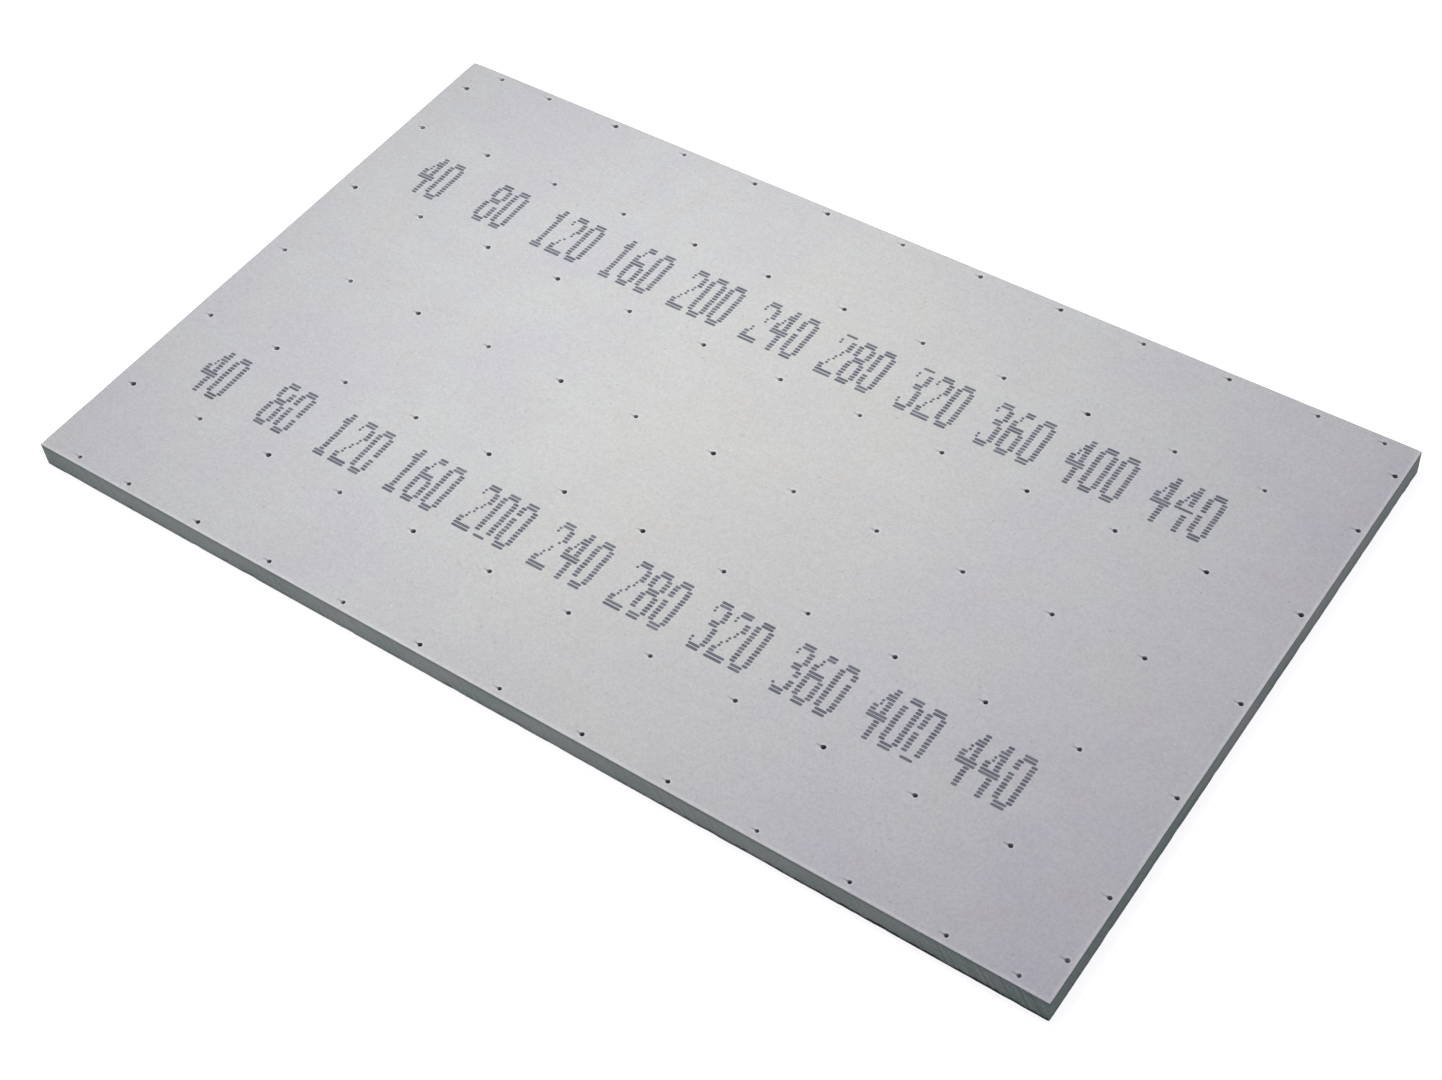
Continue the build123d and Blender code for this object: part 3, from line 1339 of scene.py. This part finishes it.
    def fill(
        self,
        outline: list[Vector],
        openings: list[list[Vector]],
    ) -> tuple[list[Vector], list[list[int]]]:
        """Fills an outline with triangles round its openings.

        Args:
            outline: The outer outline in X and Y.
            openings: The outlines to leave open.

        Returns:
            The points in X and Y, and the triangles between them, anticlockwise.
        """
        points: list[Vector] = []
        edges = []
        for loop in [outline, *openings]:
            first = len(points)
            points.extend(loop)
            edges.extend((first + index, first + (index + 1) % len(loop)) for index in range(len(loop)))
        columns = int((self.high.x - self.low.x) / self.face_spacing)
        rows = int((self.high.y - self.low.y) / self.face_spacing)
        for column in range(1, columns):
            for row in range(1, rows):
                shift = 0.5 if row % 2 else 0.0
                point = Vector((self.low.x + (column + shift) * self.face_spacing,
                                self.low.y + row * self.face_spacing))
                in_opening = openings and self.holes.is_open(point, self.opening_margin)
                if point.x < self.high.x - self.edge_margin and not in_opening:
                    points.append(point)
        flat, _, triangles, *_ = geometry.delaunay_2d_cdt(points, edges, [], FILL_INSIDE, FILL_PRECISION)
        kept = []
        for triangle in triangles:
            middle = sum((flat[index] for index in triangle), Vector((0, 0))) / 3
            if not (openings and self.holes.is_open(middle)):
                kept.append(list(triangle))
        return flat, kept

    def build(self, finishes: dict[Skin, bpy.types.Material]) -> bpy.types.Object:
        """Builds the panel from its edge band, face, holes and back.

        Args:
            finishes: The material of each skin.

        Returns:
            The panel as one closed piece.
        """
        surface = Surface()
        rim = self.edge_band(surface)
        flat, triangles = self.fill(rim, self.holes.openings())
        surface.add([(p.x, p.y, self.high.z) for p in flat], triangles, [Skin.FACE] * len(triangles))
        flat, triangles = self.fill(rim, [])
        surface.add([(p.x, p.y, self.low.z) for p in flat], [triangle[::-1] for triangle in triangles],
                    [Skin.BACK] * len(triangles))
        linings = self.holes.mesh(finishes[Skin.FACE], finishes[Skin.WALL])
        walls = [linings.materials[face.material_index] == finishes[Skin.WALL] for face in linings.polygons]
        marks = {mark: [point.value for point in linings.attributes[mark].data] for mark in MARKS}
        surface.add([tuple(vertex.co) for vertex in linings.vertices],
                    [list(face.vertices) for face in linings.polygons],
                    [Skin.WALL if wall else Skin.FACE for wall in walls], marks)
        mesh = surface.welded("board_panel", self.weld)
        for skin in Skin:
            mesh.materials.append(finishes[skin])
        return new_object("board_panel", mesh)


# Plain figures of a marking machine, five dots wide and eight high, from the top row down
FIGURE_COLUMNS = 5
FIGURE_ROWS = 8
FIGURES = {
    "0": ".###. #...# #...# #...# #...# #...# #...# .###.",
    "1": "..#.. .##.. ..#.. ..#.. ..#.. ..#.. ..#.. .###.",
    "2": ".###. #...# ....# ...#. ..#.. .#... #.... #####",
    "3": ".###. #...# ....# ..##. ....# ....# #...# .###.",
    "4": "...#. ..##. .#.#. #..#. ##### ...#. ...#. ...#.",
    "5": "##### #.... ####. ....# ....# ....# #...# .###.",
    "6": "..##. .#... #.... ####. #...# #...# #...# .###.",
    "7": "##### ....# ....# ...#. ..#.. ..#.. ..#.. ..#..",
    "8": ".###. #...# #...# .###. #...# #...# #...# .###.",
    "9": ".###. #...# #...# #...# .#### ....# ...#. .##..",
}


@dataclass
class InkScale:
    """Two scales sprayed along the face: every 40 mm, the distance from the left end in millimetres."""

    low: Vector
    high: Vector
    line_heights: tuple[float, float] = (-78.8 * MM, 74.0 * MM)
    first_number: int = 40
    last_number: int = 440
    number_step: int = 40
    row_pitch: float = 1.7 * MM
    rows_per_dot: int = 2
    dot_pitch: float = 1.5 * MM
    figure_pitch: float = 10.2 * MM
    dash_length: float = 2.8 * MM
    spot_length: float = 1.5 * MM
    dash_height: float = 1.35 * MM
    film: float = 0.05 * MM
    soak: float = 0.02 * MM
    # The top of a drop is a little smaller than its foot
    taper: float = 0.9
    # How far drops stray from their places, and the share of that which is along, across and up
    shake: float = 0.14 * MM
    swing: Place = (1.0, 0.6, 0.0)
    skipped: float = 0.02
    seed: int = 11

    def figure_runs(self, figure: str) -> list[tuple[int, float, float]]:
        """Lists the strokes of one figure.

        Args:
            figure: One of the ten figures.

        Returns:
            For each run of dots, its row from the top, the place of its middle and its length.
        """
        rows = FIGURES[figure].split()
        runs = []
        for index, row in enumerate(rows):
            start = None
            for column, dot in enumerate(row + "."):
                if dot == "#" and start is None:
                    start = column
                elif dot == "." and start is not None:
                    beside = rows[max(0, index - 1)][start], rows[min(len(rows) - 1, index + 1)][start]
                    lone = column - start == 1 and "#" not in beside
                    single = self.spot_length if lone else self.dash_length
                    length = single + (column - start - 1) * self.dot_pitch
                    middle = (start + column - 1) / 2 * self.dot_pitch
                    runs.append((index, middle, length))
                    start = None
        return runs

    def runs(self) -> list[tuple[float, float, float]]:
        """Lists every dash of both scales.

        Returns:
            For each dash, its middle in X and Y and its length.
        """
        dashes = []
        row_count = FIGURE_ROWS * self.rows_per_dot
        for middle_line in self.line_heights:
            top = middle_line + (row_count - 1) / 2 * self.row_pitch
            for measure in range(self.first_number, self.last_number + 1, self.number_step):
                number = str(measure)
                width = (FIGURE_COLUMNS - 1) * self.dot_pitch + (len(number) - 1) * self.figure_pitch
                start = self.low.x + measure * MM - width / 2
                for place, figure in enumerate(number):
                    for index, middle, length in self.figure_runs(figure):
                        for repeat in range(self.rows_per_dot):
                            row = index * self.rows_per_dot + repeat
                            across = start + place * self.figure_pitch + middle
                            dashes.append((across, top - row * self.row_pitch, length))
        return dashes

    def dash(self) -> bpy.types.Object:
        """Builds one round drop of ink, whose halves the tree draws apart into a dash.

        Returns:
            An object whose mesh carries the side, left or right, of each point.
        """
        radius = self.dash_height / 2
        quarter_turns = [-90, -45, 0, 45, 90]
        ring = [(math.radians(turn), 1.0) for turn in quarter_turns]
        ring += [(math.radians(turn + 180), -1.0) for turn in quarter_turns]
        corners = []
        sides = []
        for height, share in ((-self.soak, 1.0), (self.film, self.taper)):
            for turn, side in ring:
                corners.append((share * radius * math.cos(turn), share * radius * math.sin(turn), height))
                sides.append(side)
        count = len(ring)
        faces = [list(range(count))[::-1], list(range(count, 2 * count))]
        for index in range(count):
            after = (index + 1) % count
            faces.append([index, after, count + after, count + index])
        mesh = bpy.data.meshes.new("ink_drop")
        mesh.from_pydata(corners, [], faces)
        store(mesh, "side", sides)
        return new_object("ink_drop", mesh)

    def tree(self) -> Tree:
        """Builds the tree that sprays a drop on each point and draws it out to the point's run.

        Returns:
            The tree, with named inputs for the drop, its size, its shake, the share skipped and the seed.
        """
        tree = geometry_tree("ink_dashes", {
            "Drop": "NodeSocketObject", "Ink": "NodeSocketMaterial", "Drop length": "NodeSocketFloat",
            "Shake": "NodeSocketFloat", "Skipped": "NodeSocketFloat", "Seed": "NodeSocketInt"})
        given = add_node(tree, "NodeGroupInput").outputs
        run, side = (
            add_node(tree, "GeometryNodeInputNamedAttribute", {"data_type": "FLOAT"},
                     {"Name": name}).outputs[0]
            for name in ("run", "side")
        )
        skip = add_node(tree, "FunctionNodeRandomValue", {"data_type": "BOOLEAN"},
                        {"Probability": given["Skipped"], "Seed": given["Seed"]})
        kept = add_node(tree, "GeometryNodeDeleteGeometry", {"domain": "POINT"},
                        {"Geometry": given["Geometry"], "Selection": skip.outputs[3]})
        drop = add_node(tree, "GeometryNodeObjectInfo", None, {"Object": given["Drop"]})
        sprayed = add_node(tree, "GeometryNodeInstanceOnPoints", None,
                           {"Points": kept.outputs[0], "Instance": drop.outputs["Geometry"]})
        back = tuple(-reach for reach in self.swing)
        swing = add_node(tree, "FunctionNodeRandomValue", {"data_type": "FLOAT_VECTOR"},
                         {0: back, 1: self.swing, "Seed": given["Seed"]})
        shaken = add_node(tree, "ShaderNodeVectorMath", {"operation": "SCALE"},
                          {0: swing.outputs[0], "Scale": given["Shake"]})
        moved = add_node(tree, "GeometryNodeTranslateInstances", None,
                         {"Instances": sprayed.outputs[0], "Translation": shaken.outputs[0]})
        tone = add_node(tree, "FunctionNodeRandomValue", {"data_type": "FLOAT"}, {"Seed": given["Seed"]})
        toned = add_node(tree, "GeometryNodeStoreNamedAttribute",
                         {"data_type": "FLOAT", "domain": "INSTANCE"},
                         {"Geometry": moved.outputs[0], "Name": TONE, "Value": tone.outputs[1]})
        whole = add_node(tree, "GeometryNodeRealizeInstances", None, {0: toned.outputs[0]})
        stretch = add_node(tree, "ShaderNodeMath", {"operation": "SUBTRACT"},
                           {0: run, 1: given["Drop length"]})
        half = add_node(tree, "ShaderNodeMath", {"operation": "MULTIPLY"}, {0: stretch.outputs[0], 1: 0.5})
        pull = add_node(tree, "ShaderNodeMath", {"operation": "MULTIPLY"}, {0: half.outputs[0], 1: side})
        offset = add_node(tree, "ShaderNodeCombineXYZ", None, {"X": pull.outputs[0]})
        drawn = add_node(tree, "GeometryNodeSetPosition", None,
                         {"Geometry": whole.outputs[0], "Offset": offset.outputs[0]})
        inked = add_node(tree, "GeometryNodeSetMaterial", None,
                         {"Geometry": drawn.outputs[0], "Material": given["Ink"]})
        add_node(tree, "NodeGroupOutput", None, {0: inked.outputs[0]})
        return tree

    def build(self, ink: bpy.types.Material) -> bpy.types.Object:
        """Sprays both scales on the face.

        Args:
            ink: The ink's material.

        Returns:
            All dashes as one piece.
        """
        dashes = self.runs()
        points = bpy.data.meshes.new("ink_places")
        points.from_pydata([(x, y, self.high.z) for x, y, _ in dashes], [], [])
        store(points, "run", [run for *_, run in dashes])
        carrier = new_object("ink_places", points)
        drop = self.dash()
        mesh = grown(carrier, self.tree(), {
            "Drop": drop, "Ink": ink, "Drop length": self.dash_height, "Shake": self.shake,
            "Skipped": self.skipped, "Seed": self.seed})
        bpy.data.objects.remove(carrier)
        bpy.data.objects.remove(drop)
        mesh.name = "ink_scale"
        return new_object("ink_scale", mesh)


@dataclass(frozen=True)
class Lamp:
    """A round soft lamp, which the camera doesn't see."""

    name: str
    place: Place
    aim: Place
    size: float
    power: float
    colour: str = "#FFFFFF"
    spread: float = math.pi

    def build(self) -> bpy.types.Object:
        """Hangs the lamp and turns it to its aim.

        Returns:
            The lamp.
        """
        data = bpy.data.lights.new(self.name, "AREA")
        data.shape = "DISK"
        data.size = self.size
        data.spread = self.spread
        data.energy = self.power
        data.color = linear(self.colour)[:3]
        lamp = bpy.data.objects.new(self.name, data)
        lamp.location = self.place
        lamp.rotation_euler = (Vector(self.aim) - Vector(self.place)).to_track_quat("-Z", "Y").to_euler()
        lamp.visible_camera = False
        bpy.context.scene.collection.objects.link(lamp)
        return lamp


@dataclass
class Studio:
    """A white paper floor, a soft lamp over the board and a low one in front, even light, and the camera."""

    low: Vector
    high: Vector
    floor_size: float = 8.0
    # The floor is open under the board, so that the board's back can be seen from below
    floor_lap: float = 2.0 * MM
    floor_gap: float = 0.02 * MM
    sky_level: float = 0.385
    sky_colour: str = "#EEE6FF"
    lamps: tuple[Lamp, ...] = (
        Lamp("top_lamp", place=(-0.073, 0.05, 0.57), aim=(-0.073, 0.05, 0.0), size=0.34, power=1.43,
             colour="#FAFFF3", spread=math.radians(138)),
        Lamp("front_lamp", place=(-0.16, -0.62, 0.12), aim=(-0.1, -0.15, 0.0), size=0.25, power=0.03,
             spread=math.radians(70)),
    )
    camera_place: Place = (0.43581, -0.51684, 0.74796)
    camera_aim: tuple[float, float] = (0.03364, -0.03968)
    camera_roll: float = math.radians(-6.474)
    camera_lens: float = 58.45
    camera_clip: float = 10 * MM
    sensor_width: float = 36.0

    def floor(self) -> bpy.types.Object:
        """Lays the paper round the board and a little way under it.

        Returns:
            The floor.
        """
        half = self.floor_size / 2
        height = self.low.z - self.floor_gap
        left, near = self.low.x + self.floor_lap, self.low.y + self.floor_lap
        right, far = self.high.x - self.floor_lap, self.high.y - self.floor_lap
        corners = [(-half, -half), (half, -half), (half, half), (-half, half),
                   (left, near), (right, near), (right, far), (left, far)]
        mesh = bpy.data.meshes.new("paper_floor")
        mesh.from_pydata([(x, y, height) for x, y in corners], [],
                         [[side, (side + 1) % 4, 4 + (side + 1) % 4, 4 + side] for side in range(4)])
        mesh.materials.append(PaperFloor().material())
        paper = new_object("paper_floor", mesh)
        return paper

    def sky(self) -> None:
        """Lights the scene evenly from all round, and shows plain white behind it."""
        world = bpy.data.worlds.new("studio")
        world.use_nodes = True
        tree = world.node_tree
        tree.nodes.clear()
        light = add_node(tree, "ShaderNodeBackground", None,
                         {"Color": linear(self.sky_colour), "Strength": self.sky_level})
        white = add_node(tree, "ShaderNodeBackground", None, {"Color": linear("#FFFFFF"), "Strength": 1.0})
        both = add_node(tree, "ShaderNodeMixShader", None,
                        {0: seen_share(tree), 1: light.outputs[0], 2: white.outputs[0]})
        add_node(tree, "ShaderNodeOutputWorld", None, {"Surface": both.outputs[0]})
        bpy.context.scene.world = world

    def camera(self) -> bpy.types.Object:
        """Stands the camera over the front corner, turned a little about its own line of sight.

        Returns:
            The camera.
        """
        data = bpy.data.cameras.new("camera")
        data.sensor_fit = "HORIZONTAL"
        data.sensor_width = self.sensor_width
        data.lens = self.camera_lens
        data.clip_start = self.camera_clip
        camera = bpy.data.objects.new("camera", data)
        camera.location = self.camera_place
        sight = Vector((*self.camera_aim, self.high.z)) - Vector(self.camera_place)
        level = sight.to_track_quat("-Z", "Y").to_matrix()
        camera.rotation_euler = (level @ Matrix.Rotation(self.camera_roll, 3, "Z")).to_euler()
        bpy.context.scene.collection.objects.link(camera)
        bpy.context.scene.camera = camera
        return camera

    def build(self) -> None:
        """Sets up the floor, the light and the camera."""
        self.floor()
        self.sky()
        for lamp in self.lamps:
            lamp.build()
        self.camera()
        bpy.context.scene.view_settings.view_transform = "Standard"


def main() -> None:
    """Loads the frame and builds the panel, the ink and the studio round it."""
    logging.basicConfig(level=logging.INFO)
    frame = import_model()
    low, high = (Vector([float(number) for number in corner]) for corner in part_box(NODE))

    holes = PilotHoles.from_frame(frame["nodes"][NODE], low, high)
    LOG.info("pilot holes: %d, %.2f mm deep", len(holes.centres), holes.depth / MM)
    finishes = {
        Skin.FACE: PressedFace(half_length=high.x, half_width=high.y).material(),
        Skin.ARRIS: RubbedArris(half_length=high.x).material(),
        Skin.EDGE: SawnEdge(thickness=high.z, stained_corner=(high.x, low.y, low.z)).material(),
        Skin.WALL: HoleWall().material(),
        Skin.BACK: FeltBack().material(),
    }
    panel = Panel(low, high, holes).build(finishes)
    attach(panel, "root")
    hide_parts(NODE)
    LOG.info("panel: %d faces", len(panel.data.polygons))

    ink = InkScale(low, high).build(JetInk().material())
    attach(ink, "root")
    LOG.info("ink scale: %d faces", len(ink.data.polygons))

    Studio(low, high).build()


if __name__ == "__main__":
    main()
